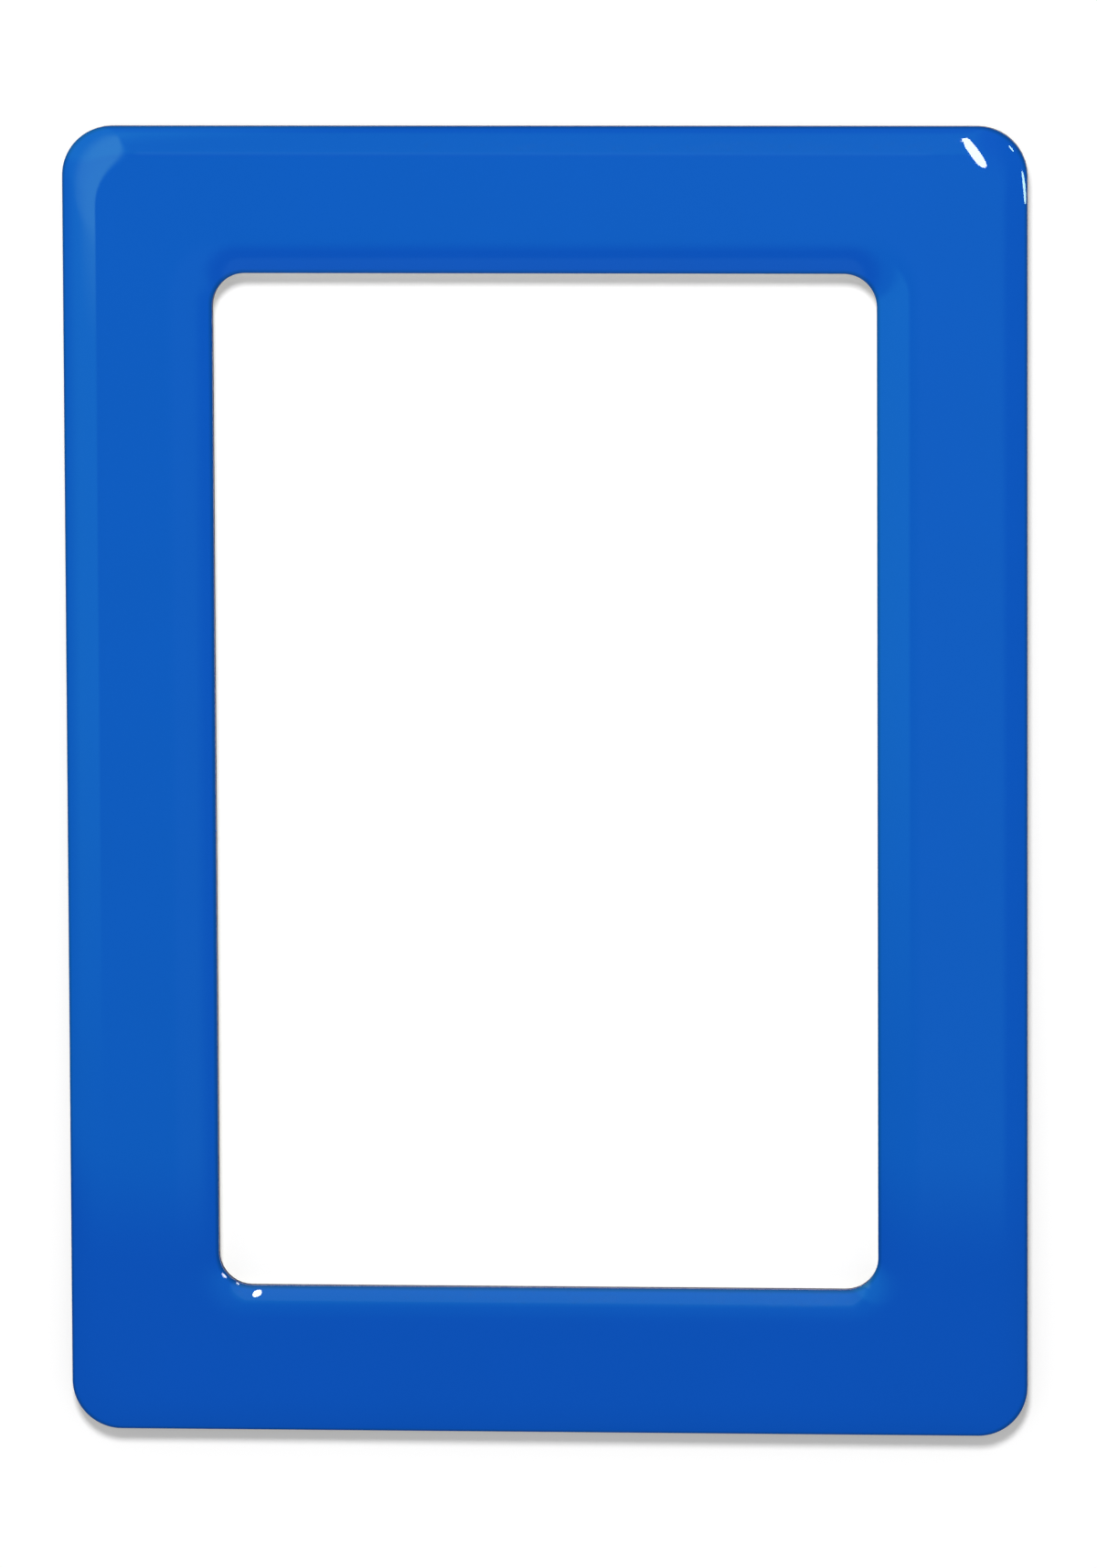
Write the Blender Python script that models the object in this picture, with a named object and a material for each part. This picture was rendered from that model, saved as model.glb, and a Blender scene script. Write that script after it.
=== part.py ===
"""Magnetic document frame for a 10 x 15 cm print, in two halves held together by magnet sheets.

The frame hangs upright: width along X, height along Z, and the front faces -Y. The origin is the
centre of the frame on the wall plane, y = 0, where the adhesive strips meet the wall. The rear
half is a clear backing film with magnet strips round the print and adhesive strips behind them.
The front half is a ring of magnet sheet with a coloured film and a domed resin lens on its face,
and a clear window film taped behind its opening. The front half pulls off along -Y.
"""

import math

import bmesh
import bpy

# Print, in metres
PRINT_WIDTH = 0.102
PRINT_HEIGHT = 0.152
PRINT_CLEARANCE = 0.0010
SIDE_COVER = 0.0035
END_COVER = 0.0030

# Outline of the front ring
SIDE_BORDER = 0.0214
END_BORDER = 0.0210
OUTER_CORNER = 0.0071
INNER_CORNER = 0.0047
CORNER_STEPS = 10

# Layers, from the wall to the front
ADHESIVE_THICKNESS = 0.0006
BACKING_THICKNESS = 0.0003
REAR_MAGNET_THICKNESS = 0.0007
WINDOW_THICKNESS = 0.00025
WINDOW_TAPE_THICKNESS = 0.0002
FRONT_MAGNET_THICKNESS = 0.0008
COLOUR_FILM_THICKNESS = 0.00025
RESIN_EDGE = 0.00030
RESIN_RISE = 0.0015

# Clearances between layers
GLUE_LINE = 0.0001
TAPE_GLUE_LINE = 0.00005
HALVES_GAP = 0.0003

# Resin shoulders: how far the resin takes to level out from each edge, and its corners there
OUTER_SHOULDER = 0.0051
OPENING_SHOULDER = 0.0065
OUTER_PLATEAU_CORNER = 0.0065
OPENING_PLATEAU_CORNER = 0.0088
SHOULDER_STEPS = 10

# Rear half
REAR_INSET = 0.0007
STRIP_JOINT = 0.0003
ADHESIVE_WIDTH = 0.0120
ADHESIVE_CORNER = 0.0010
ADHESIVE_END_INSET = 0.0160
ADHESIVE_JOINT = 0.0030

# Window film and its tape
WINDOW_LAP = 0.0032
WINDOW_CORNER = 0.0020
WINDOW_TAPE_WIDTH = 0.0026
WINDOW_TAPE_SETBACK = 0.0003

# Sizes that follow from the ones above
OPENING_WIDTH = PRINT_WIDTH - 2 * SIDE_COVER
OPENING_HEIGHT = PRINT_HEIGHT - 2 * END_COVER
FRAME_WIDTH = OPENING_WIDTH + 2 * SIDE_BORDER
FRAME_HEIGHT = OPENING_HEIGHT + 2 * END_BORDER
RECESS_WIDTH = PRINT_WIDTH + 2 * PRINT_CLEARANCE
RECESS_HEIGHT = PRINT_HEIGHT + 2 * PRINT_CLEARANCE
REAR_WIDTH = FRAME_WIDTH - 2 * REAR_INSET
REAR_HEIGHT = FRAME_HEIGHT - 2 * REAR_INSET
REAR_CORNER = OUTER_CORNER - REAR_INSET

# Depth of each layer's back face, counted from the wall towards the front
BACKING_BACK = ADHESIVE_THICKNESS + GLUE_LINE
REAR_MAGNET_BACK = BACKING_BACK + BACKING_THICKNESS + GLUE_LINE
FRONT_MAGNET_BACK = REAR_MAGNET_BACK + REAR_MAGNET_THICKNESS + HALVES_GAP
WINDOW_TAPE_BACK = FRONT_MAGNET_BACK - TAPE_GLUE_LINE - WINDOW_TAPE_THICKNESS
WINDOW_BACK = WINDOW_TAPE_BACK - TAPE_GLUE_LINE - WINDOW_THICKNESS
COLOUR_FILM_BACK = FRONT_MAGNET_BACK + FRONT_MAGNET_THICKNESS + GLUE_LINE
RESIN_BACK = COLOUR_FILM_BACK + COLOUR_FILM_THICKNESS + GLUE_LINE

UPRIGHT = (math.radians(90), 0, 0)


def clear_scene():
    """Start from an empty scene."""
    for obj in list(bpy.data.objects):
        bpy.data.objects.remove(obj, do_unlink=True)


def make_collection(name):
    """A collection linked to the scene."""
    collection = bpy.data.collections.new(name)
    bpy.context.scene.collection.children.link(collection)
    return collection


def make_material(name, colour, roughness, metallic=0.0, alpha=1.0):
    """A Principled material with one colour."""
    material = bpy.data.materials.new(name)
    material.use_nodes = True
    shader = material.node_tree.nodes["Principled BSDF"]
    shader.inputs["Base Color"].default_value = (*colour, 1.0)
    shader.inputs["Roughness"].default_value = roughness
    shader.inputs["Metallic"].default_value = metallic
    shader.inputs["Alpha"].default_value = alpha
    return material


def rounded_outline(width, height, radii, centre=(0.0, 0.0)):
    """Points of a rectangle round its centre, counter-clockwise from the right-hand top corner.

    radii gives the corner radius at top right, top left, bottom left and bottom right. A corner
    of radius 0 is one point.
    """
    points = []
    signs = ((1, 1), (-1, 1), (-1, -1), (1, -1))
    for turn, ((side, end), radius) in enumerate(zip(signs, radii)):
        corner_x = centre[0] + side * (width / 2 - radius)
        corner_z = centre[1] + end * (height / 2 - radius)
        steps = CORNER_STEPS if radius > 0 else 0
        for step in range(steps + 1):
            angle = math.radians(90) * (turn + step / max(steps, 1))
            points.append((corner_x + radius * math.cos(angle), corner_z + radius * math.sin(angle)))
    return points


def make_sheet(name, outlines, back, thickness, material, parent, collection):
    """A flat sheet cut to its outlines, standing upright with its back face at that depth."""
    curve = bpy.data.curves.new(name, "CURVE")
    curve.dimensions = "2D"
    curve.fill_mode = "BOTH"
    curve.extrude = thickness / 2
    for outline in outlines:
        spline = curve.splines.new("POLY")
        spline.points.add(len(outline) - 1)
        for point, (x, z) in zip(spline.points, outline):
            point.co = (x, z, 0, 1)
        spline.use_cyclic_u = True
    curve.materials.append(material)
    sheet = bpy.data.objects.new(name, curve)
    sheet.parent = parent
    sheet.location = (0, -(back + thickness / 2) - parent.location.y, 0)
    sheet.rotation_euler = UPRIGHT
    collection.objects.link(sheet)
    return sheet


def make_body(name, depth, collection):
    """An empty that carries the pieces of one half, at that depth in front of the wall."""
    body = bpy.data.objects.new(name, None)
    body.empty_display_size = SIDE_BORDER
    body.location = (0, -depth, 0)
    collection.objects.link(body)
    return body


def ring_outlines():
    """The outer edge of the front ring and the edge of its opening."""
    outer = rounded_outline(FRAME_WIDTH, FRAME_HEIGHT, [OUTER_CORNER] * 4)
    inner = rounded_outline(OPENING_WIDTH, OPENING_HEIGHT, [INNER_CORNER] * 4)
    return [outer, inner]


def make_adhesive_strips(parent, collection):
    """Four strips of removable adhesive, centred behind the borders."""
    foam = make_material("removable_adhesive_foam", (0.80, 0.80, 0.77), 0.75)
    side_x = (OPENING_WIDTH + SIDE_BORDER) / 2
    end_z = (OPENING_HEIGHT + END_BORDER) / 2
    end_length = FRAME_WIDTH - 2 * ADHESIVE_END_INSET
    side_length = 2 * end_z - ADHESIVE_WIDTH - 2 * ADHESIVE_JOINT
    strips = {
        "adhesive_strip_top": (end_length, ADHESIVE_WIDTH, (0, end_z)),
        "adhesive_strip_bottom": (end_length, ADHESIVE_WIDTH, (0, -end_z)),
        "adhesive_strip_left": (ADHESIVE_WIDTH, side_length, (-side_x, 0)),
        "adhesive_strip_right": (ADHESIVE_WIDTH, side_length, (side_x, 0)),
    }
    for name, (width, height, centre) in strips.items():
        outline = rounded_outline(width, height, [ADHESIVE_CORNER] * 4, centre)
        make_sheet(name, [outline], 0, ADHESIVE_THICKNESS, foam, parent, collection)


def make_backing_film(parent, collection):
    """The clear film that closes the back and that the print lies against."""
    film = make_material("clear_backing_film", (0.86, 0.89, 0.90), 0.12, alpha=0.35)
    outline = rounded_outline(REAR_WIDTH, REAR_HEIGHT, [REAR_CORNER] * 4)
    make_sheet("backing_film", [outline], BACKING_BACK, BACKING_THICKNESS, film, parent, collection)


def make_rear_magnets(parent, collection):
    """Four magnet strips on the backing film, which leave a recess for the print between them."""
    ferrite = make_material("rear_ferrite_rubber", (0.035, 0.033, 0.031), 0.62)
    end_width = (REAR_HEIGHT - RECESS_HEIGHT) / 2
    side_width = (REAR_WIDTH - RECESS_WIDTH) / 2
    side_x = (RECESS_WIDTH + side_width) / 2
    end_z = (RECESS_HEIGHT + end_width) / 2
    side_length = RECESS_HEIGHT - 2 * STRIP_JOINT
    top_corners = (REAR_CORNER, REAR_CORNER, 0, 0)
    bottom_corners = (0, 0, REAR_CORNER, REAR_CORNER)
    square = (0, 0, 0, 0)
    strips = {
        "rear_magnet_top": (REAR_WIDTH, end_width, top_corners, (0, end_z)),
        "rear_magnet_bottom": (REAR_WIDTH, end_width, bottom_corners, (0, -end_z)),
        "rear_magnet_left": (side_width, side_length, square, (-side_x, 0)),
        "rear_magnet_right": (side_width, side_length, square, (side_x, 0)),
    }
    for name, (width, height, radii, centre) in strips.items():
        outline = rounded_outline(width, height, radii, centre)
        make_sheet(name, [outline], REAR_MAGNET_BACK, REAR_MAGNET_THICKNESS, ferrite, parent, collection)


def make_window(parent, collection):
    """The clear film behind the opening and the four tape strips that hold it to the magnet sheet."""
    film = make_material("clear_window_film", (0.88, 0.90, 0.91), 0.08, alpha=0.3)
    width = OPENING_WIDTH + 2 * WINDOW_LAP
    height = OPENING_HEIGHT + 2 * WINDOW_LAP
    outline = rounded_outline(width, height, [WINDOW_CORNER] * 4)
    make_sheet("window_film", [outline], WINDOW_BACK, WINDOW_THICKNESS, film, parent, collection)

    tape = make_material("double_sided_tape", (0.78, 0.79, 0.76), 0.5)
    side_x = OPENING_WIDTH / 2 + WINDOW_TAPE_SETBACK + WINDOW_TAPE_WIDTH / 2
    end_z = OPENING_HEIGHT / 2 + WINDOW_TAPE_SETBACK + WINDOW_TAPE_WIDTH / 2
    end_length = 2 * side_x + WINDOW_TAPE_WIDTH - 2 * WINDOW_CORNER
    side_length = 2 * end_z - WINDOW_TAPE_WIDTH - 2 * STRIP_JOINT
    strips = {
        "window_tape_top": (end_length, WINDOW_TAPE_WIDTH, (0, end_z)),
        "window_tape_bottom": (end_length, WINDOW_TAPE_WIDTH, (0, -end_z)),
        "window_tape_left": (WINDOW_TAPE_WIDTH, side_length, (-side_x, 0)),
        "window_tape_right": (WINDOW_TAPE_WIDTH, side_length, (side_x, 0)),
    }
    for name, (width, height, centre) in strips.items():
        outline = rounded_outline(width, height, [0] * 4, centre)
        make_sheet(name, [outline], WINDOW_TAPE_BACK, WINDOW_TAPE_THICKNESS, tape, parent, collection)


def make_front_sheets(parent, collection):
    """The die-cut magnet ring and the blue film laminated on its face."""
    ferrite = make_material("front_ferrite_rubber", (0.040, 0.037, 0.034), 0.62)
    blue = make_material("blue_vinyl_film", (0.004, 0.100, 0.510), 0.30)
    layers = (
        ("front_magnet_sheet", FRONT_MAGNET_BACK, FRONT_MAGNET_THICKNESS, ferrite),
        ("colour_film", COLOUR_FILM_BACK, COLOUR_FILM_THICKNESS, blue),
    )
    for name, back, thickness, material in layers:
        make_sheet(name, ring_outlines(), back, thickness, material, parent, collection)


def shoulder_levels(width, height, reach, edge_corner, plateau_corner):
    """Outlines and heights of a resin shoulder, from its edge to the plateau.

    width and height are those of the edge it starts from, and reach is how far it goes inward,
    or outward where it is negative. The shoulder is a parabola, cut into steps of equal height.
    """
    levels = []
    for step in range(SHOULDER_STEPS + 1):
        climb = step / SHOULDER_STEPS
        share = 1 - math.sqrt(1 - climb)
        inset = reach * share
        corner = edge_corner + (plateau_corner - edge_corner) * share
        outline = rounded_outline(width - 2 * inset, height - 2 * inset, [corner] * 4)
        levels.append((outline, RESIN_EDGE + RESIN_RISE * climb))
    return levels


def resin_levels():
    """Closed levels of the resin's surface, from its foot on the outer edge to its foot on the opening."""
    outer_foot, opening_foot = ring_outlines()
    outer = shoulder_levels(
        FRAME_WIDTH, FRAME_HEIGHT, OUTER_SHOULDER, OUTER_CORNER, OUTER_PLATEAU_CORNER
    )
    opening = shoulder_levels(
        OPENING_WIDTH, OPENING_HEIGHT, -OPENING_SHOULDER, INNER_CORNER, OPENING_PLATEAU_CORNER
    )
    return [(outer_foot, 0.0)] + outer + opening[::-1] + [(opening_foot, 0.0)]


def make_resin_dome(parent, collection):
    """The cast lens of resin over the blue film, lofted from level to level and closed underneath."""
    mesh = bmesh.new()
    loops = []
    for outline, height in resin_levels():
        loops.append([mesh.verts.new((x, z, height)) for x, z in outline])
    for near, far in zip(loops, loops[1:] + loops[:1]):
        for here in range(len(near)):
            before = here - 1
            mesh.faces.new((near[before], near[here], far[here], far[before]))
    data = bpy.data.meshes.new("resin_dome")
    mesh.to_mesh(data)
    mesh.free()
    data.shade_smooth()
    data.set_sharp_from_angle(angle=math.radians(35))
    data.materials.append(make_material("blue_domed_resin", (0.004, 0.105, 0.520), 0.06))
    dome = bpy.data.objects.new("resin_dome", data)
    dome.parent = parent
    dome.location = (0, -RESIN_BACK - parent.location.y, 0)
    dome.rotation_euler = UPRIGHT
    collection.objects.link(dome)


def make_frame():
    """Build both halves of the frame."""
    clear_scene()
    collection = make_collection("magnetic_document_frame")
    rear_half = make_body("rear_half", 0, collection)
    make_adhesive_strips(rear_half, collection)
    make_backing_film(rear_half, collection)
    make_rear_magnets(rear_half, collection)
    front_half = make_body("front_half", FRONT_MAGNET_BACK, collection)
    make_window(front_half, collection)
    make_front_sheets(front_half, collection)
    make_resin_dome(front_half, collection)


make_frame()
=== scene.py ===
import math

import bmesh
import bpy
from mathutils import Matrix, Quaternion, Vector


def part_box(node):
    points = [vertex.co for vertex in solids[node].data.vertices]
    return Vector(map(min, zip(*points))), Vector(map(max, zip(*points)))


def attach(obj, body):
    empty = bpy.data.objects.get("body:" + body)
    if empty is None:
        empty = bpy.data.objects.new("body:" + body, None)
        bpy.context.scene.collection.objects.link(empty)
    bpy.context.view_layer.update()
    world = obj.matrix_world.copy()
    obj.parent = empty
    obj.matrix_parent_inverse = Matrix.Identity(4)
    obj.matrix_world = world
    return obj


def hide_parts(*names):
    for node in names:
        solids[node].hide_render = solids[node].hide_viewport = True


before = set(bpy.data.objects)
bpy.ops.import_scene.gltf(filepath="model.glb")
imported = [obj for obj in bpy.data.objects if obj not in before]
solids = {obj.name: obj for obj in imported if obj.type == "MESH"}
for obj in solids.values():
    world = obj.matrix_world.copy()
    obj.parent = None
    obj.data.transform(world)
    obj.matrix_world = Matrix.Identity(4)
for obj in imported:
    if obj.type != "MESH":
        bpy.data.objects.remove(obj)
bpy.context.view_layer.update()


# ---- Adhesive strips -----------------------------------------------------------------------
# Four strips of removable foam tape hold the rear half on the wall. Each is white closed
# cell polyethylene foam, slit from a roll and coated on both faces, with its corners cut round.

MM = 0.001


def linear(hex_colour):
    """Linear colour of an sRGB hex value."""
    channels = [int(hex_colour[at:at + 2], 16) / 255 for at in (1, 3, 5)]
    straight = [c / 12.92 if c <= 0.04045 else ((c + 0.055) / 1.055) ** 2.4 for c in channels]
    return straight + [1.0]


def add(tree, kind, settings=None, **inputs):
    """Adds a node; its inputs are given by name or by number, as values or as sockets."""
    node = tree.nodes.new(kind)
    for key, value in (settings or {}).items():
        setattr(node, key, value)
    for key, value in inputs.items():
        name = key.replace("_", " ")
        socket = node.inputs[int(key[2:])] if key.startswith("in") else node.inputs[name]
        if isinstance(value, bpy.types.NodeSocket):
            tree.links.new(value, socket)
        else:
            socket.default_value = value
    return node


def new_finish(name):
    """An empty material, with the coordinates of its piece in metres."""
    finish = bpy.data.materials.new(name)
    finish.use_nodes = True
    finish.node_tree.nodes.clear()
    place = add(finish.node_tree, "ShaderNodeTexCoord").outputs["Object"]
    return finish, finish.node_tree, place


def dress(names, finish):
    """Gives solids of the frame that keep their shape a better finish."""
    for name in names:
        for material_slot in solids[name].material_slots:
            material_slot.material = finish


# Polyethylene foam, extruded and slit: a fine skin of closed cells, dull and slightly uneven.
FOAM_WHITE = "#EFEEE9"
FOAM_SHADE = "#D5D3CB"
# Real cells are 0.15 to 0.3 mm. They are drawn at 0.35 mm, so that they show from behind.
FOAM_CELL = 0.35 * MM
FOAM_PATCH = 6 * MM

foam, tree, place = new_finish("polyethylene_foam_tape_slit")
cells = add(
    tree, "ShaderNodeTexVoronoi", {"feature": "SMOOTH_F1"}, Vector=place, Scale=1 / FOAM_CELL,
)
patches = add(tree, "ShaderNodeTexNoise", None, Vector=place, Scale=1 / FOAM_PATCH, Detail=3.0)
worn = add(
    tree, "ShaderNodeMath", {"operation": "MULTIPLY_ADD"},
    in0=cells.outputs["Distance"], in1=0.55, in2=patches.outputs["Fac"],
)
tint = add(
    tree, "ShaderNodeMapRange", None,
    Value=worn.outputs[0], From_Min=0.45, From_Max=1.15, To_Min=0.0, To_Max=1.0,
)
colour = add(
    tree, "ShaderNodeMix", {"data_type": "RGBA"},
    Factor=tint.outputs[0], in6=linear(FOAM_WHITE), in7=linear(FOAM_SHADE),
)
dents = add(
    tree, "ShaderNodeBump", None,
    Strength=0.6, Distance=0.06 * MM, Height=cells.outputs["Distance"],
)
skin = add(
    tree, "ShaderNodeBsdfPrincipled", None,
    Base_Color=colour.outputs[2], Roughness=0.82, IOR=1.5, Normal=dents.outputs[0],
)
add(tree, "ShaderNodeOutputMaterial", None, Surface=skin.outputs[0])
dress([f"adhesive_strip_{side}" for side in ("top", "bottom", "left", "right")], foam)


# ---- Backing film and window film ----------------------------------------------------------
# One clear polyester film closes the back of the rear half, and one covers the print in the
# front half. Both are cut from rolled sheet, so they are glossy, a little wavy and lightly
# scuffed. Clear film shows mainly where it is seen at a slant, and along its cut edges.

# Gloss of a film of IOR 1.6 by the angle it is seen at, from nothing seen straight on.
FILM_SLANT_GLOSS = 0.55
FILM_WAVE = 35 * MM
FILM_SCUFF = 1.2 * MM
FILM_SHEEN = "#F4F8FA"

clear_film, tree, place = new_finish("polyester_film_biaxial_clear")
slant = add(tree, "ShaderNodeLayerWeight", None, Blend=0.5)
squared = add(
    tree, "ShaderNodeMath", {"operation": "POWER"}, in0=slant.outputs["Facing"], in1=2.0,
)
gloss_share = add(
    tree, "ShaderNodeMath", {"operation": "MULTIPLY"},
    in0=squared.outputs[0], in1=FILM_SLANT_GLOSS,
)
waves = add(tree, "ShaderNodeTexNoise", None, Vector=place, Scale=1 / FILM_WAVE, Detail=1.0)
scuffs = add(tree, "ShaderNodeTexNoise", None, Vector=place, Scale=1 / FILM_SCUFF, Detail=6.0)
scuffed = add(
    tree, "ShaderNodeMapRange", None,
    Value=scuffs.outputs["Fac"], From_Min=0.5, From_Max=0.75, To_Min=0.04, To_Max=0.16,
)
wavy = add(
    tree, "ShaderNodeBump", None, Strength=0.5, Distance=0.25 * MM, Height=waves.outputs["Fac"],
)
gloss = add(
    tree, "ShaderNodeBsdfAnisotropic", None,
    Color=linear(FILM_SHEEN), Roughness=scuffed.outputs[0], Normal=wavy.outputs[0],
)
see_through = add(tree, "ShaderNodeBsdfTransparent")
film = add(
    tree, "ShaderNodeMixShader", None,
    Fac=gloss_share.outputs[0], in1=see_through.outputs[0], in2=gloss.outputs[0],
)
add(tree, "ShaderNodeOutputMaterial", None, Surface=film.outputs[0])
dress(["backing_film", "window_film"], clear_film)
for name in ("backing_film", "window_film"):
    solids[name].visible_shadow = False
    solids[name].visible_diffuse = False


# ---- Rear magnets and front magnet sheet ---------------------------------------------------
# Flexible magnet sheet: ferrite powder in rubber, calendered to gauge and cut with a steel
# rule. Four strips sit round the print on the rear half, and one ring carries the front.

FERRITE_BROWN = "#242323"
FERRITE_GREY = "#383635"
# The rolls leave streaks about a millimetre apart along the height of the frame.
ROLL_STREAK = 0.9 * MM
STREAK_LENGTH = 30 * MM
# Powder is a few hundredths of a millimetre. It is drawn at 0.25 mm, so that it shows.
FERRITE_GRAIN = 0.25 * MM

ferrite, tree, place = new_finish("ferrite_rubber_sheet_calendered")
along = add(
    tree, "ShaderNodeMapping", None,
    Vector=place, Scale=(1 / ROLL_STREAK, 1 / ROLL_STREAK, 1 / STREAK_LENGTH),
)
streaks = add(tree, "ShaderNodeTexNoise", None, Vector=along.outputs[0], Scale=1.0, Detail=4.0)
grains = add(
    tree, "ShaderNodeTexNoise", None, Vector=place, Scale=1 / FERRITE_GRAIN, Detail=2.0,
)
speckle = add(
    tree, "ShaderNodeMath", {"operation": "MULTIPLY_ADD"},
    in0=grains.outputs["Fac"], in1=0.6, in2=streaks.outputs["Fac"],
)
tint = add(
    tree, "ShaderNodeMapRange", None, Value=speckle.outputs[0], From_Min=0.5, From_Max=1.1,
)
colour = add(
    tree, "ShaderNodeMix", {"data_type": "RGBA"},
    Factor=tint.outputs[0], in6=linear(FERRITE_BROWN), in7=linear(FERRITE_GREY),
)
polished = add(
    tree, "ShaderNodeMapRange", None,
    Value=streaks.outputs["Fac"], From_Min=0.3, From_Max=0.7, To_Min=0.52, To_Max=0.72,
)
rolled = add(
    tree, "ShaderNodeBump", None, Strength=0.5, Distance=0.02 * MM, Height=speckle.outputs[0],
)
sheet = add(
    tree, "ShaderNodeBsdfPrincipled", None,
    Base_Color=colour.outputs[2], Roughness=polished.outputs[0], IOR=1.52,
    Specular_IOR_Level=0.25, Normal=rolled.outputs[0],
)
add(tree, "ShaderNodeOutputMaterial", None, Surface=sheet.outputs[0])
dress([f"rear_magnet_{side}" for side in ("top", "bottom", "left", "right")], ferrite)
dress(["front_magnet_sheet"], ferrite)


# ---- Window tape ---------------------------------------------------------------------------
# Four strips of double sided tissue tape bond the window film to the back of the front
# magnet. The tissue is thin paper soaked with acrylic glue: off white, with long fibres.

TISSUE_WHITE = "#E9E7DF"
TISSUE_WET = "#CFCCC0"
# Paper fibres are 2 to 3 mm long and about 0.03 mm wide, drawn at 0.15 mm.
FIBRE_WIDTH = 0.15 * MM
FIBRE_LENGTH = 2.5 * MM

tissue, tree, place = new_finish("tissue_tape_acrylic_coated")
lay = add(
    tree, "ShaderNodeMapping", None,
    Vector=place, Rotation=(0.0, 0.6, 0.0),
    Scale=(1 / FIBRE_WIDTH, 1 / FIBRE_WIDTH, 1 / FIBRE_LENGTH),
)
fibres = add(
    tree, "ShaderNodeTexNoise", None,
    Vector=lay.outputs[0], Scale=1.0, Detail=3.0, Distortion=0.8,
)
colour = add(
    tree, "ShaderNodeMix", {"data_type": "RGBA"},
    Factor=fibres.outputs["Fac"], in6=linear(TISSUE_WHITE), in7=linear(TISSUE_WET),
)
fuzz = add(
    tree, "ShaderNodeBump", None,
    Strength=0.4, Distance=0.03 * MM, Height=fibres.outputs["Fac"],
)
paper = add(
    tree, "ShaderNodeBsdfPrincipled", None,
    Base_Color=colour.outputs[2], Roughness=0.55, IOR=1.47, Normal=fuzz.outputs[0],
)
add(tree, "ShaderNodeOutputMaterial", None, Surface=paper.outputs[0])
dress([f"window_tape_{side}" for side in ("top", "bottom", "left", "right")], tissue)


# ---- Colour film ---------------------------------------------------------------------------
# A ring of blue vinyl film lies on the front magnet and gives the frame its colour. It is
# calendered and self adhesive, and only its cut edge shows, under the rim of the resin.

VINYL_BLUE = "#0E56BA"
VINYL_DEEP = "#0B4DAB"
VINYL_MOTTLE = 3 * MM
# Fine orange peel that a calendered film has, about half a millimetre across.
VINYL_PEEL = 0.5 * MM

vinyl, tree, place = new_finish("vinyl_film_calendered_blue")
mottle = add(tree, "ShaderNodeTexNoise", None, Vector=place, Scale=1 / VINYL_MOTTLE, Detail=3.0)
peel = add(tree, "ShaderNodeTexNoise", None, Vector=place, Scale=1 / VINYL_PEEL, Detail=2.0)
colour = add(
    tree, "ShaderNodeMix", {"data_type": "RGBA"},
    Factor=mottle.outputs["Fac"], in6=linear(VINYL_BLUE), in7=linear(VINYL_DEEP),
)
peeled = add(
    tree, "ShaderNodeBump", None, Strength=0.3, Distance=0.02 * MM, Height=peel.outputs["Fac"],
)
face = add(
    tree, "ShaderNodeBsdfPrincipled", None,
    Base_Color=colour.outputs[2], Roughness=0.38, IOR=1.53, Normal=peeled.outputs[0],
)
add(tree, "ShaderNodeOutputMaterial", None, Surface=face.outputs[0])
dress(["colour_film"], vinyl)


# ---- Resin dome ----------------------------------------------------------------------------
# Clear polyurethane resin, poured on the blue film and held by surface tension at its cut
# edges, where it rounds off in soft shoulders and levels out to a plateau between them.
# It cures glossy and almost flat, with waves of a few thousandths of a millimetre.

RIM_HEIGHT = 0.3 * MM
RIM_ROUND = 0.15 * MM
RESIN_RISE = 1.5 * MM
# How far the resin takes to level out, inward from the outer edge and outward from the opening
OUTER_REACH = 5.1 * MM
OPENING_REACH = 6.5 * MM
OUTER_CORNER = 7.1 * MM
OUTER_PLATEAU_CORNER = 6.5 * MM
OPENING_CORNER = 4.7 * MM
OPENING_PLATEAU_CORNER = 8.8 * MM
SIDE_BORDER = 21.4 * MM
END_BORDER = 21.0 * MM
WAVE_HEIGHT = 0.003 * MM

SHOULDER_STEPS = 40
RIM_STEPS = 5
PLATEAU_STEPS = 6
CORNER_STEPS = 24
END_RUN_STEPS = 30
SIDE_RUN_STEPS = 42

dome_low, dome_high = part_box("resin_dome")
ring_width = dome_high.x - dome_low.x
ring_height = dome_high.z - dome_low.z
resin_back = dome_high.y


def outline(width, height, corner):
    """Points round a rounded rectangle, anticlockwise from the right end of its top corner."""
    points = []
    for quarter in range(4):
        side_x = 1 if quarter in (0, 3) else -1
        side_z = 1 if quarter in (0, 1) else -1
        centre_x = side_x * (width / 2 - corner)
        centre_z = side_z * (height / 2 - corner)
        for step in range(CORNER_STEPS + 1):
            angle = math.pi / 2 * (quarter + step / CORNER_STEPS)
            points.append(
                (centre_x + corner * math.cos(angle), centre_z + corner * math.sin(angle))
            )
        steps = SIDE_RUN_STEPS if quarter % 2 else END_RUN_STEPS
        start = points[-1]
        run = (width if quarter % 2 == 0 else height) - 2 * corner
        across, up = ((-1, 0), (0, -1), (1, 0), (0, 1))[quarter]
        for step in range(1, steps):
            gone = run * step / steps
            points.append((start[0] + across * gone, start[1] + up * gone))
    return points


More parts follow.
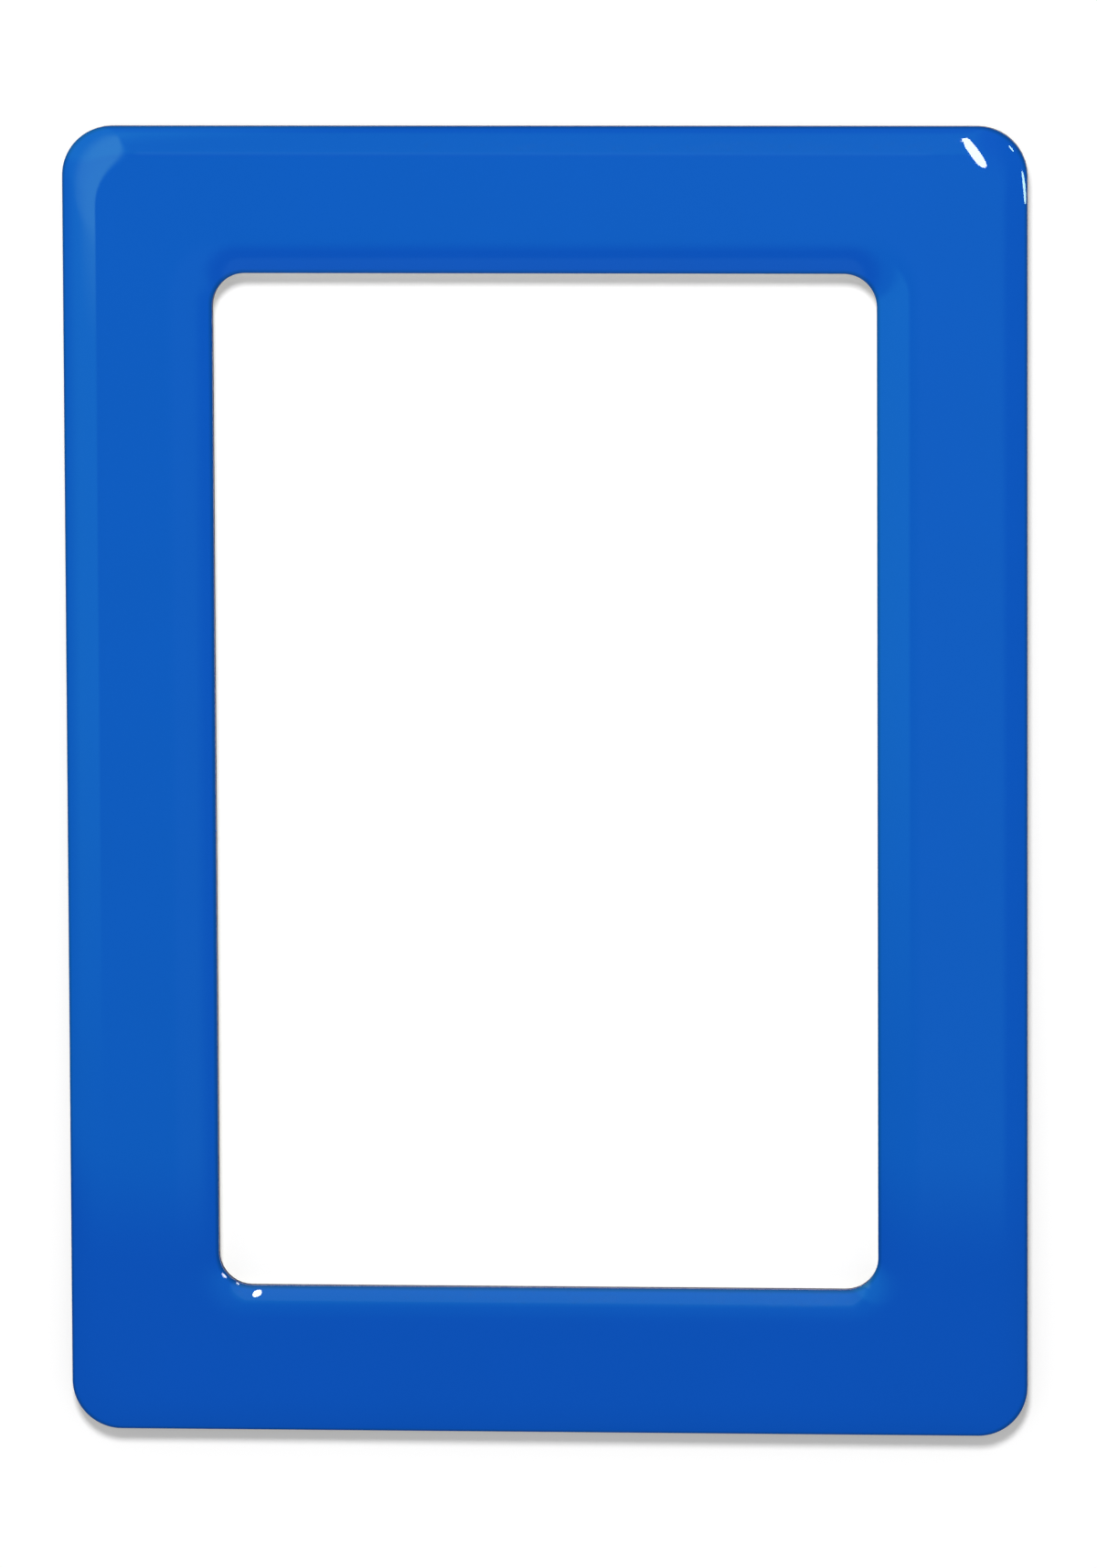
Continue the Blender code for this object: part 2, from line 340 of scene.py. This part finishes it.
def shoulder_profile(reach):
    """Insets and heights from the foot of the rim, over its rounded lip, up to the plateau."""
    lean = math.atan(2 * RESIN_RISE / reach)
    tangent = RIM_ROUND / math.tan((math.pi / 2 + lean) / 2)
    profile = [(0.0, 0.0), (0.0, (RIM_HEIGHT - tangent) / 2)]
    for step in range(RIM_STEPS + 1):
        angle = math.pi - (math.pi / 2 - lean) * step / RIM_STEPS
        inset = RIM_ROUND * (1 + math.cos(angle))
        profile.append((inset, RIM_HEIGHT - tangent + RIM_ROUND * math.sin(angle)))
    lip = profile[-1][0]
    for step in range(1, SHOULDER_STEPS + 1):
        inset = lip + (reach - lip) * step / SHOULDER_STEPS
        profile.append((inset, RIM_HEIGHT + RESIN_RISE * (1 - (1 - inset / reach) ** 2)))
    return profile


def resin_rings():
    """Closed rings over the resin, from its outer foot across the plateau to the opening."""
    outer = []
    for inset, height in shoulder_profile(OUTER_REACH):
        corner = OUTER_CORNER + (OUTER_PLATEAU_CORNER - OUTER_CORNER) * inset / OUTER_REACH
        points = outline(ring_width - 2 * inset, ring_height - 2 * inset, corner)
        outer.append([(x, z, height) for x, z in points])
    opening = []
    for inset, height in shoulder_profile(OPENING_REACH):
        spread = (OPENING_PLATEAU_CORNER - OPENING_CORNER) * inset / OPENING_REACH
        opening_width = ring_width - 2 * SIDE_BORDER + 2 * inset
        opening_height = ring_height - 2 * END_BORDER + 2 * inset
        points = outline(opening_width, opening_height, OPENING_CORNER + spread)
        opening.append([(x, z, height) for x, z in points])
    plateau = []
    for step in range(1, PLATEAU_STEPS):
        share = step / PLATEAU_STEPS
        pairs = zip(outer[-1], opening[-1])
        plateau.append([tuple(a + (b - a) * share for a, b in zip(*pair)) for pair in pairs])
    return outer + plateau + opening[::-1]


def wave(x, z):
    """Waves that cured resin keeps, in metres, about 15 to 22 mm from crest to crest."""
    # Turns in a metre across, turns in a metre up, and the phase of each train of waves
    turns = ((31, 47, 0.4), (-58, 23, 2.1), (17, -64, 4.0), (44, 12, 5.3))
    return WAVE_HEIGHT * sum(
        math.sin(2 * math.pi * (x * per_x + z * per_z) + phase) for per_x, per_z, phase in turns
    ) / 2


def cast_resin():
    """The mesh of the cured resin, glossy and smooth but for its flat back."""
    rings = resin_rings()
    count = len(rings[0])
    vertices = []
    for ring in rings:
        for x, z, height in ring:
            lift = height + wave(x, z) * (height / (RIM_HEIGHT + RESIN_RISE)) ** 2
            vertices.append((x, resin_back - lift, z))
    faces = []
    # The last ring joins the first one again over the flat back.
    for level in range(len(rings)):
        after = (level + 1) % len(rings)
        for at in range(count):
            beside = (at + 1) % count
            faces.append((
                level * count + at, level * count + beside,
                after * count + beside, after * count + at,
            ))
    mesh = bpy.data.meshes.new("resin_dome_cast")
    mesh.from_pydata(vertices, [], faces)
    flat_back = len(rings) - 1
    for number, face in enumerate(mesh.polygons):
        face.use_smooth = number // count != flat_back
    return mesh


# Polyurethane doming resin over blue vinyl, cast: the colour lies flat under a clear skin, so
# the blue is even and deep, and the skin gives sharp reflections at the IOR of 1.5.
RESIN_BLUE = "#0E55BF"
RESIN_DEEP = "#0E54BB"
RESIN_MOTTLE = 14 * MM
# Along its rim the resin is painted a thin navy line: painted shade and dark reflection of the
# steep rim, together with the dark magnet below that shows through it.
RIM_SHADE_NAVY = "#0B4690"
RIM_SHADE_UP_TO = 0.36 * MM
BLUE_FROM = 0.56 * MM
SKIN_ROUGHNESS = 0.03
# The colour follows the skin's slope only this far, for it lies on the flat film below
COLOUR_SLOPE = 0.15

resin, tree, place = new_finish("polyurethane_doming_resin_cast_over_blue")
mottle = add(tree, "ShaderNodeTexNoise", None, Vector=place, Scale=1 / RESIN_MOTTLE, Detail=4.0)
colour = add(
    tree, "ShaderNodeMix", {"data_type": "RGBA"},
    Factor=mottle.outputs["Fac"], in6=linear(RESIN_BLUE), in7=linear(RESIN_DEEP),
)
axes = add(tree, "ShaderNodeSeparateXYZ", None, Vector=place)
# Painted rim shade: the colour turns navy over the lowest part of the rim.
rim = add(
    tree, "ShaderNodeMapRange", None,
    Value=axes.outputs["Y"], From_Min=resin_back - BLUE_FROM, From_Max=resin_back - RIM_SHADE_UP_TO,
)
rim_shaded = add(
    tree, "ShaderNodeMix", {"data_type": "RGBA"},
    Factor=rim.outputs[0], in6=colour.outputs[2], in7=linear(RIM_SHADE_NAVY),
)
skin_slope = add(tree, "ShaderNodeNewGeometry")
little_slope = add(
    tree, "ShaderNodeVectorMath", {"operation": "SCALE"},
    in0=skin_slope.outputs["Normal"], Scale=COLOUR_SLOPE,
)
mostly_flat = add(
    tree, "ShaderNodeVectorMath", {"operation": "ADD"},
    in0=little_slope.outputs[0], in1=(0.0, COLOUR_SLOPE - 1, 0.0),
)
colour_lie = add(
    tree, "ShaderNodeVectorMath", {"operation": "NORMALIZE"}, in0=mostly_flat.outputs[0],
)
coated = add(
    tree, "ShaderNodeBsdfPrincipled", None,
    Base_Color=rim_shaded.outputs[2], Roughness=0.5, IOR=1.5, Specular_IOR_Level=0.0,
    Normal=colour_lie.outputs[0],
    Coat_Weight=1.0, Coat_Roughness=SKIN_ROUGHNESS, Coat_IOR=1.5,
)
add(tree, "ShaderNodeOutputMaterial", None, Surface=coated.outputs[0])

dome = bpy.data.objects.new("resin_dome_cast", cast_resin())
bpy.context.collection.objects.link(dome)
dome.data.materials.append(resin)
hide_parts("resin_dome")
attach(dome, "front_half")


# ---- Wall and floor ------------------------------------------------------------------------
# The frame hangs on a plain white wall, which keeps its shadow, with a pale floor well below.
# Seen from behind, the wall is clear, so that the back of the frame shows.

WALL_WHITE = "#EDEDED"
WALL_GAP = 0.2 * MM
# Light that the wall adds for the camera alone, so that it shows as plain white
WALL_GLOW = 0.24
WALL_SPAN = 4.0
FLOOR_SPAN = 6.0
FLOOR_DEPTH = 0.55

painted, tree, place = new_finish("painted_plaster_white")
path = add(tree, "ShaderNodeLightPath")
glow = add(
    tree, "ShaderNodeMath", {"operation": "MULTIPLY"},
    in0=path.outputs["Is Camera Ray"], in1=WALL_GLOW,
)
lit = add(tree, "ShaderNodeEmission", None, Strength=glow.outputs[0])
matt = add(tree, "ShaderNodeBsdfDiffuse", None, Color=linear(WALL_WHITE))
front = add(tree, "ShaderNodeAddShader", None, in0=matt.outputs[0], in1=lit.outputs[0])
behind = add(tree, "ShaderNodeBsdfTransparent")
side = add(tree, "ShaderNodeNewGeometry")
plaster = add(
    tree, "ShaderNodeMixShader", None,
    Fac=side.outputs["Backfacing"], in1=front.outputs[0], in2=behind.outputs[0],
)
add(tree, "ShaderNodeOutputMaterial", None, Surface=plaster.outputs[0])


def stage_plane(name, corners):
    mesh = bpy.data.meshes.new(name)
    mesh.from_pydata(corners, [], [(0, 1, 2, 3)])
    mesh.materials.append(painted)
    plane = bpy.data.objects.new(name, mesh)
    bpy.context.collection.objects.link(plane)
    return plane


wall = stage_plane("wall", [
    (-WALL_SPAN, WALL_GAP, -FLOOR_DEPTH), (WALL_SPAN, WALL_GAP, -FLOOR_DEPTH),
    (WALL_SPAN, WALL_GAP, WALL_SPAN), (-WALL_SPAN, WALL_GAP, WALL_SPAN),
])
floor = stage_plane("floor", [
    (-WALL_SPAN, -FLOOR_SPAN, -FLOOR_DEPTH), (WALL_SPAN, -FLOOR_SPAN, -FLOOR_DEPTH),
    (WALL_SPAN, FLOOR_SPAN, -FLOOR_DEPTH), (-WALL_SPAN, FLOOR_SPAN, -FLOOR_DEPTH),
])
for plane in (wall, floor):
    plane.visible_shadow = False
    plane.visible_diffuse = False
floor.visible_glossy = False


# ---- Lights --------------------------------------------------------------------------------
# A round softbox above the camera gives the shadow, and the white room fills it in. A wider
# one behind the frame lights its back. Three small lamps with honeycomb grids give the glints
# at the lower left of the opening, and a wide blue one the band along its lower edge.

KEY_RISE = math.radians(28.6)
KEY_DISTANCE = 1.6
KEY_WIDTH = 0.38
KEY_WATTS = 18.5
BACK_PLACE = (-0.5, 1.1, 0.6)
BACK_WIDTH = 0.9
BACK_WATTS = 9.0
STRIP_TINT = (0.28, 0.62, 1.0)


def aimed(name, place, width, height, watts, shape="DISK", towards=(0, 0, 0)):
    """A flat lamp at a place, turned towards another and unseen by the camera."""
    lamp = bpy.data.lights.new(name, "AREA")
    lamp.shape = shape
    lamp.size = width
    if shape in ("RECTANGLE", "ELLIPSE"):
        lamp.size_y = height
    lamp.energy = watts
    holder = bpy.data.objects.new(name, lamp)
    holder.location = place
    holder.rotation_mode = "QUATERNION"
    holder.rotation_quaternion = (Vector(towards) - Vector(place)).to_track_quat("-Z", "Y")
    holder.visible_camera = False
    bpy.context.collection.objects.link(holder)
    return holder


key = aimed(
    "key_softbox",
    (0, -KEY_DISTANCE * math.cos(KEY_RISE), KEY_DISTANCE * math.sin(KEY_RISE)),
    KEY_WIDTH, KEY_WIDTH, KEY_WATTS,
)
key.visible_glossy = False
back = aimed("back_softbox", BACK_PLACE, BACK_WIDTH, BACK_WIDTH, BACK_WATTS)
back.visible_glossy = False


def grid_lamp(name, spot, way, size, lean, distance, spread, radiance):
    """A lamp with a honeycomb grid, which shines from one direction on one spot of the resin.
    The spot is x and z in mm, the way an azimuth to the right and an elevation from the wall's
    normal, the size a width and a height as seen from the spot, the lean a turn about the way,
    and the spread the angle that the grid lets through. The distance is in mm, and all angles
    are in degrees."""
    azimuth, elevation = math.radians(way[0]), math.radians(way[1])
    aim = Vector((spot[0] * MM, resin_back, spot[1] * MM))
    away = Vector((
        math.sin(azimuth) * math.cos(elevation),
        -math.cos(azimuth) * math.cos(elevation),
        math.sin(elevation),
    )) * distance * MM
    width, height = (2 * distance * MM * math.tan(math.radians(side / 2)) for side in size)
    # A narrow spread keeps the lamp's power, so head on it is brighter by this gain.
    half = math.radians(spread / 2)
    gain = math.tan(half) / (math.tan(half) - half)
    lit_area = math.pi / 4 * width * height
    watts = radiance * math.pi * lit_area / gain
    lamp = aimed(name, aim + away, width, height, watts, "ELLIPSE", aim)
    turn = Quaternion((0, 0, 1), math.radians(lean))
    lamp.rotation_quaternion = lamp.rotation_quaternion @ turn
    lamp.data.spread = math.radians(spread)
    lamp.visible_diffuse = False
    return lamp


grid_lamp(
    "opening_dash_lamp", spot=(-46.8, -71.6), way=(26.5, 16.7), size=(1.8, 7.5), lean=35.0,
    distance=200, spread=30, radiance=22.0,
)
grid_lamp(
    "opening_speck_lamp", spot=(-44.9, -72.7), way=(14.8, 33.2), size=(3.4, 7.6), lean=-45.0,
    distance=30, spread=30, radiance=24.0,
)
grid_lamp(
    "opening_dot_lamp", spot=(-41.9, -74.3), way=(-6.6, 31.5), size=(6.4, 13.0), lean=-12.0,
    distance=10, spread=30, radiance=45.0,
)
strip = grid_lamp(
    "lower_edge_strip", spot=(0.0, -74.4), way=(-5.2, 36.0), size=(24.0, 21.0), lean=0.0,
    distance=300, spread=60, radiance=1.3,
)
strip.data.shape = "RECTANGLE"
strip.data.color = STRIP_TINT


# ---- Light tent ----------------------------------------------------------------------------
# A round tent of backlit cloth, a white card, a black flag and three small cards with lit
# openings, seen only in the gloss of the resin. They make its soft bands and its corner
# glints. A plain tent round them is seen in the gloss of all other pieces.

TENT_RADIUS = 0.8
PLAIN_TENT_RADIUS = 0.82
PLAIN_LIGHT = (0.45, 0.47, 0.50, 1)
STREAK_LIGHT = 24.0
STREAK_TINT = (0.95, 1, 1, 1)
THIN_GLINT_LIGHT = 21.0
THIN_GLINT_TINT = (0.66, 1, 0.80, 1)
# Degrees from straight ahead up to which the grid of a card is open, and from which it is dark
GRID_OPEN_TO = 30
GRID_DARK_FROM = 45
# The card's upper left corner is cut off along a line that falls 1.25 mm for each mm to the
# left. Its light ends softly between these heights of that line above the frame's middle.
CARD_CUT_FALL = 1.25
CARD_CUT_OUTSIDE = 600
CARD_CUT_INSIDE = 440
# Heights in mm at which the flag's net is black and at which it has thinned out to nothing
FLAG_BLACK_UP_TO = -76.0
FLAG_CLEAR_FROM = -57.0

resin_only = bpy.data.collections.new("resin_only")
resin_only.objects.link(dome)


def panels_light(tree, across, up, panels, strength=1.0):
    """Adds up the light of soft edged panels in a cloth. A panel is given by four rising
    places across, at which it starts, is full, is still full and ends, by four rising places
    up, and by the linear colour of its light."""
    total = None
    for *spans, light in panels:
        inside = None
        for value, (start, full, still_full, end) in zip((across, up), spans):
            for none_at, all_at in ((start, full), (end, still_full)):
                step = add(
                    tree, "ShaderNodeMapRange", {"interpolation_type": "SMOOTHSTEP"},
                    Value=value, From_Min=none_at, From_Max=all_at,
                )
                inside = step if inside is None else add(
                    tree, "ShaderNodeMath", {"operation": "MULTIPLY"},
                    in0=inside.outputs[0], in1=step.outputs[0],
                )
        panel = add(
            tree, "ShaderNodeVectorMath", {"operation": "SCALE"},
            in0=light, Scale=inside.outputs[0],
        )
        total = panel if total is None else add(
            tree, "ShaderNodeVectorMath", {"operation": "ADD"},
            in0=total.outputs[0], in1=panel.outputs[0],
        )
    return add(tree, "ShaderNodeEmission", None, Color=total.outputs[0], Strength=strength)


def hang_cloth(tree, light):
    """Finishes a thin cloth, whose light adds to the light that comes through it."""
    through = add(tree, "ShaderNodeBsdfTransparent", None, Color=(1, 1, 1, 1))
    both = add(tree, "ShaderNodeAddShader", None, in0=light.outputs[0], in1=through.outputs[0])
    add(tree, "ShaderNodeOutputMaterial", None, Surface=both.outputs[0])


def stage_light(name, mesh_data, finish):
    """Puts up a cloth or a card that only the gloss of the resin sees."""
    finish.cycles.emission_sampling = "NONE"
    mesh_data.materials.append(finish)
    piece = bpy.data.objects.new(name, mesh_data)
    bpy.context.collection.objects.link(piece)
    piece.visible_camera = False
    piece.visible_diffuse = False
    piece.visible_transmission = False
    piece.visible_shadow = False
    piece.light_linking.receiver_collection = resin_only
    return piece


def sphere(name, radius):
    mesh = bmesh.new()
    bmesh.ops.create_icosphere(mesh, subdivisions=5, radius=radius)
    mesh_data = bpy.data.meshes.new(name)
    mesh.to_mesh(mesh_data)
    mesh.free()
    return mesh_data


def upright(name, left, right_side, bottom, top, depth):
    """A rectangle in front of the frame, all sides in mm."""
    mesh_data = bpy.data.meshes.new(name)
    mesh_data.from_pydata([
        (x * MM, -depth * MM, z * MM)
        for x, z in ((left, bottom), (right_side, bottom), (right_side, top), (left, top))
    ], [], [(0, 1, 2, 3)])
    return mesh_data


def cut_card(name, spot, way, distance, cloth, opening):
    """A lit opening in a black card, which shines from one direction on one spot of the resin.
    The spot is x and z in mm, the way an azimuth to the right and an elevation from the wall's
    normal in degrees. The opening's points are across and up in mm, at the distance in mm."""
    azimuth, elevation = math.radians(way[0]), math.radians(way[1])
    away = Vector((
        math.sin(azimuth) * math.cos(elevation),
        -math.cos(azimuth) * math.cos(elevation),
        math.sin(elevation),
    ))
    across = Vector((0, 0, 1)).cross(away).normalized()
    middle = Vector((spot[0] * MM, resin_back, spot[1] * MM)) + away * distance * MM
    mesh_data = bpy.data.meshes.new(name)
    mesh_data.from_pydata(
        [middle + (across * x + away.cross(across) * y) * MM for x, y in opening],
        [], [list(range(len(opening)))],
    )
    stage_light(name, mesh_data, cloth)


def gridded_cloth(name, tint, light, nearest):
    """A lit cloth behind a honeycomb grid, which lets its light out only near straight ahead.
    It goes dark for resin nearer than some mm, as when the front half is pulled up to it."""
    finish, tree, place = new_finish(name)
    slant = add(tree, "ShaderNodeLayerWeight", None, Blend=0.5)
    let_out = add(
        tree, "ShaderNodeMapRange", {"interpolation_type": "SMOOTHSTEP"},
        Value=slant.outputs["Facing"],
        From_Min=1 - math.cos(math.radians(GRID_DARK_FROM)),
        From_Max=1 - math.cos(math.radians(GRID_OPEN_TO)),
        To_Max=light,
    )
    path = add(tree, "ShaderNodeLightPath")
    far_enough = add(
        tree, "ShaderNodeMapRange", {"interpolation_type": "SMOOTHSTEP"},
        Value=path.outputs["Ray Length"], From_Min=nearest * MM / 2, From_Max=nearest * MM,
    )
    strength = add(
        tree, "ShaderNodeMath", {"operation": "MULTIPLY"},
        in0=let_out.outputs[0], in1=far_enough.outputs[0],
    )
    hang_cloth(tree, add(
        tree, "ShaderNodeEmission", None, Color=tint, Strength=strength.outputs[0],
    ))
    return finish


# Tent: its panels are given in degrees to the right of straight out from the wall, and in
# degrees up.
tent_cloth, tree, place = new_finish("tent_cloth_backlit")
axes = add(tree, "ShaderNodeSeparateXYZ", None, Vector=place)
outward = add(
    tree, "ShaderNodeMath", {"operation": "MULTIPLY"}, in0=axes.outputs["Y"], in1=-1.0,
)
turned = add(
    tree, "ShaderNodeMath", {"operation": "ARCTAN2"},
    in0=axes.outputs["X"], in1=outward.outputs[0],
)
azimuth = add(
    tree, "ShaderNodeMath", {"operation": "MULTIPLY"},
    in0=turned.outputs[0], in1=math.degrees(1),
)
height = add(
    tree, "ShaderNodeMath", {"operation": "MULTIPLY"},
    in0=axes.outputs["Z"], in1=1 / TENT_RADIUS,
)
raised = add(tree, "ShaderNodeMath", {"operation": "ARCSINE"}, in0=height.outputs[0])
elevation = add(
    tree, "ShaderNodeMath", {"operation": "MULTIPLY"},
    in0=raised.outputs[0], in1=math.degrees(1),
)
hang_cloth(tree, panels_light(tree, azimuth.outputs[0], elevation.outputs[0], (
    ((-100, -80, 18, 34), (-27, -12, 85, 89), (0.01, 0.25, 0.70)),
    ((-100, -80, 18, 34), (-27, -12, 4, 32), (0.01, 0.29, 0.06)),
    ((-10.6, 1.7, 18, 34), (-27, -12, 85, 89), (0.03, 0.08, 0.22)),
    ((18, 34, 64, 76), (-27, -12, 85, 89), (0.0, 0.20, 0.55)),
    ((64, 76, 181, 190), (-27, -12, 85, 89), (0.42, 0.50, 0.62)),
    ((-190, -181, -112, -98), (-27, -12, 85, 89), (0.42, 0.50, 0.62)),
    ((-66, -46, -16.5, -11.5), (-12.5, -4, 60, 75), (0.06, 0.62, 0.75)),
    ((-80, -50, 6, 18), (15, 21, 49, 54), (0.05, 0.55, 0.35)),
    ((-100, -80, 80, 100), (-91, -89, -36, -30), (0.08, 0.28, 0.42)),
)))
stage_light("light_tent", sphere("light_tent", TENT_RADIUS), tent_cloth)

# White card to the upper left: its panels are given in mm across and up.
card_cloth, tree, place = new_finish("card_white_backlit")
axes = add(tree, "ShaderNodeSeparateXYZ", None, Vector=place)
across = add(
    tree, "ShaderNodeMath", {"operation": "MULTIPLY"}, in0=axes.outputs["X"], in1=1 / MM,
)
up = add(tree, "ShaderNodeMath", {"operation": "MULTIPLY"}, in0=axes.outputs["Z"], in1=1 / MM)
cut_line = add(
    tree, "ShaderNodeMath", {"operation": "MULTIPLY_ADD"},
    in0=across.outputs[0], in1=-CARD_CUT_FALL, in2=up.outputs[0],
)
uncut = add(
    tree, "ShaderNodeMapRange", {"interpolation_type": "SMOOTHSTEP"},
    Value=cut_line.outputs[0], From_Min=CARD_CUT_OUTSIDE, From_Max=CARD_CUT_INSIDE,
)
hang_cloth(tree, panels_light(tree, across.outputs[0], up.outputs[0], (
    ((-360, -150, -122, -104), (36, 60, 330, 430), (0.25, 0.72, 0.27)),
    ((-480, -470, -126, -108), (54, 60, 310, 430), (0.24, 0.60, 0.40)),
), uncut.outputs[0]))
card = upright("upper_left_card", left=-480, right_side=-90, bottom=20, top=430, depth=300)
stage_light("upper_left_card", card, card_cloth)

# Black flag below: a net that gets thinner upwards
flag_net, tree, place = new_finish("flag_net_black")
axes = add(tree, "ShaderNodeSeparateXYZ", None, Vector=place)
up = add(tree, "ShaderNodeMath", {"operation": "MULTIPLY"}, in0=axes.outputs["Z"], in1=1 / MM)
open_share = add(
    tree, "ShaderNodeMapRange", {"interpolation_type": "SMOOTHSTEP"},
    Value=up.outputs[0], From_Min=FLAG_BLACK_UP_TO, From_Max=FLAG_CLEAR_FROM,
)
net = add(tree, "ShaderNodeBsdfTransparent", None, Color=open_share.outputs[0])
add(tree, "ShaderNodeOutputMaterial", None, Surface=net.outputs[0])
flag = upright("lower_flag", left=-400, right_side=400, bottom=-260, top=-50, depth=40)
stage_light("lower_flag", flag, flag_net)

# Cards with lit openings, for the three glints at the upper right corner
streak_cloth = gridded_cloth("glint_cloth_backlit", STREAK_TINT, STREAK_LIGHT, nearest=40)
thin_cloth = gridded_cloth(
    "thin_glint_cloth_backlit", THIN_GLINT_TINT, THIN_GLINT_LIGHT, nearest=12,
)
cut_card(
    "corner_streak_card", spot=(61.5, 90.3), way=(3.4, 18.6), distance=60, cloth=streak_cloth,
    opening=(
        (-7.18, 23.68), (-6.47, 24.47), (-3.71, 19.80), (0.43, 10.08), (3.03, 2.51),
        (4.69, -3.70), (5.81, -8.93), (6.08, -12.65), (5.53, -14.90), (3.42, -17.16),
        (1.21, -18.09), (-0.35, -17.21), (-0.81, -12.18), (-1.68, -4.81), (-4.33, 5.87),
        (-7.20, 18.24),
    ),
)
cut_card(
    "corner_dash_card", spot=(66.7, 90.9), way=(31.2, 21.9), distance=30, cloth=thin_cloth,
    opening=(
        (-1.91, 1.78), (-1.07, 1.28), (0.10, -0.12), (1.14, -1.61), (0.99, -2.10),
        (-0.21, -1.13), (-1.39, 0.41),
    ),
)
cut_card(
    "side_streak_card", spot=(68.4, 85.4), way=(52.3, -1.6), distance=20, cloth=thin_cloth,
    opening=(
        (-3.41, 4.75), (-2.16, 3.73), (-0.41, 1.55), (0.63, 0.04), (1.06, -1.22),
        (1.67, -2.35), (1.00, -3.18), (0.44, -3.03), (0.05, -2.19), (-0.42, -0.93),
        (-1.00, 0.33), (-2.64, 2.85),
    ),
)

# Plain tent, for the gloss of everything but the resin
plain_cloth, tree, place = new_finish("plain_cloth_backlit")
even = add(tree, "ShaderNodeEmission", None, Color=PLAIN_LIGHT, Strength=1.0)
add(tree, "ShaderNodeOutputMaterial", None, Surface=even.outputs[0])
plain = stage_light("plain_tent", sphere("plain_tent", PLAIN_TENT_RADIUS), plain_cloth)
not_resin = bpy.data.collections.new("not_resin")
not_resin.objects.link(dome)
not_resin.collection_objects[0].light_linking.link_state = "EXCLUDE"
plain.light_linking.receiver_collection = not_resin


# ---- Room ----------------------------------------------------------------------------------
# The white studio round the frame. The camera sees it as plain white, and matt surfaces get
# an even fill from it.

ROOM_FILL = 0.36
world = bpy.data.worlds.new("studio")
bpy.context.scene.world = world
world.use_nodes = True
world.cycles.sampling_method = "NONE"
tree = world.node_tree
tree.nodes.clear()
path = add(tree, "ShaderNodeLightPath")
fill = add(tree, "ShaderNodeBackground", None, Color=(1, 1, 1, 1), Strength=ROOM_FILL)
white = add(tree, "ShaderNodeBackground", None, Color=(1, 1, 1, 1), Strength=1.0)
room = add(
    tree, "ShaderNodeMixShader", None,
    Fac=path.outputs["Is Camera Ray"], in1=fill.outputs[0], in2=white.outputs[0],
)
add(tree, "ShaderNodeOutputWorld", None, Surface=room.outputs[0])


# ---- Camera --------------------------------------------------------------------------------
# A long lens 1.8 m away, a little above the frame and to the right of it. Its turn and its
# place are those at which the edges of the outline and of the opening meet the photograph's.

AIM = Vector((0.00039, -0.00365, -0.00014))
CAMERA_DISTANCE = 1.8
CAMERA_YAW = math.radians(4.674)
CAMERA_PITCH = math.radians(-6.496)
CAMERA_ROLL = math.radians(-0.254)
LENS_MM = 288.92
SENSOR_MM = 36.0

ahead = Vector((
    -math.sin(CAMERA_YAW) * math.cos(CAMERA_PITCH),
    math.cos(CAMERA_YAW) * math.cos(CAMERA_PITCH),
    math.sin(CAMERA_PITCH),
))
level_right = ahead.cross(Vector((0, 0, 1))).normalized()
level_up = level_right.cross(ahead)
right = math.cos(CAMERA_ROLL) * level_right + math.sin(CAMERA_ROLL) * level_up
up = right.cross(ahead)
lens = bpy.data.cameras.new("camera")
lens.lens = LENS_MM
lens.sensor_width = SENSOR_MM
camera = bpy.data.objects.new("camera", lens)
bpy.context.collection.objects.link(camera)
camera.matrix_world = Matrix.Translation(AIM - CAMERA_DISTANCE * ahead) @ Matrix(
    (right, up, -ahead)
).transposed().to_4x4()
bpy.context.scene.camera = camera
bpy.context.scene.view_settings.view_transform = "Standard"
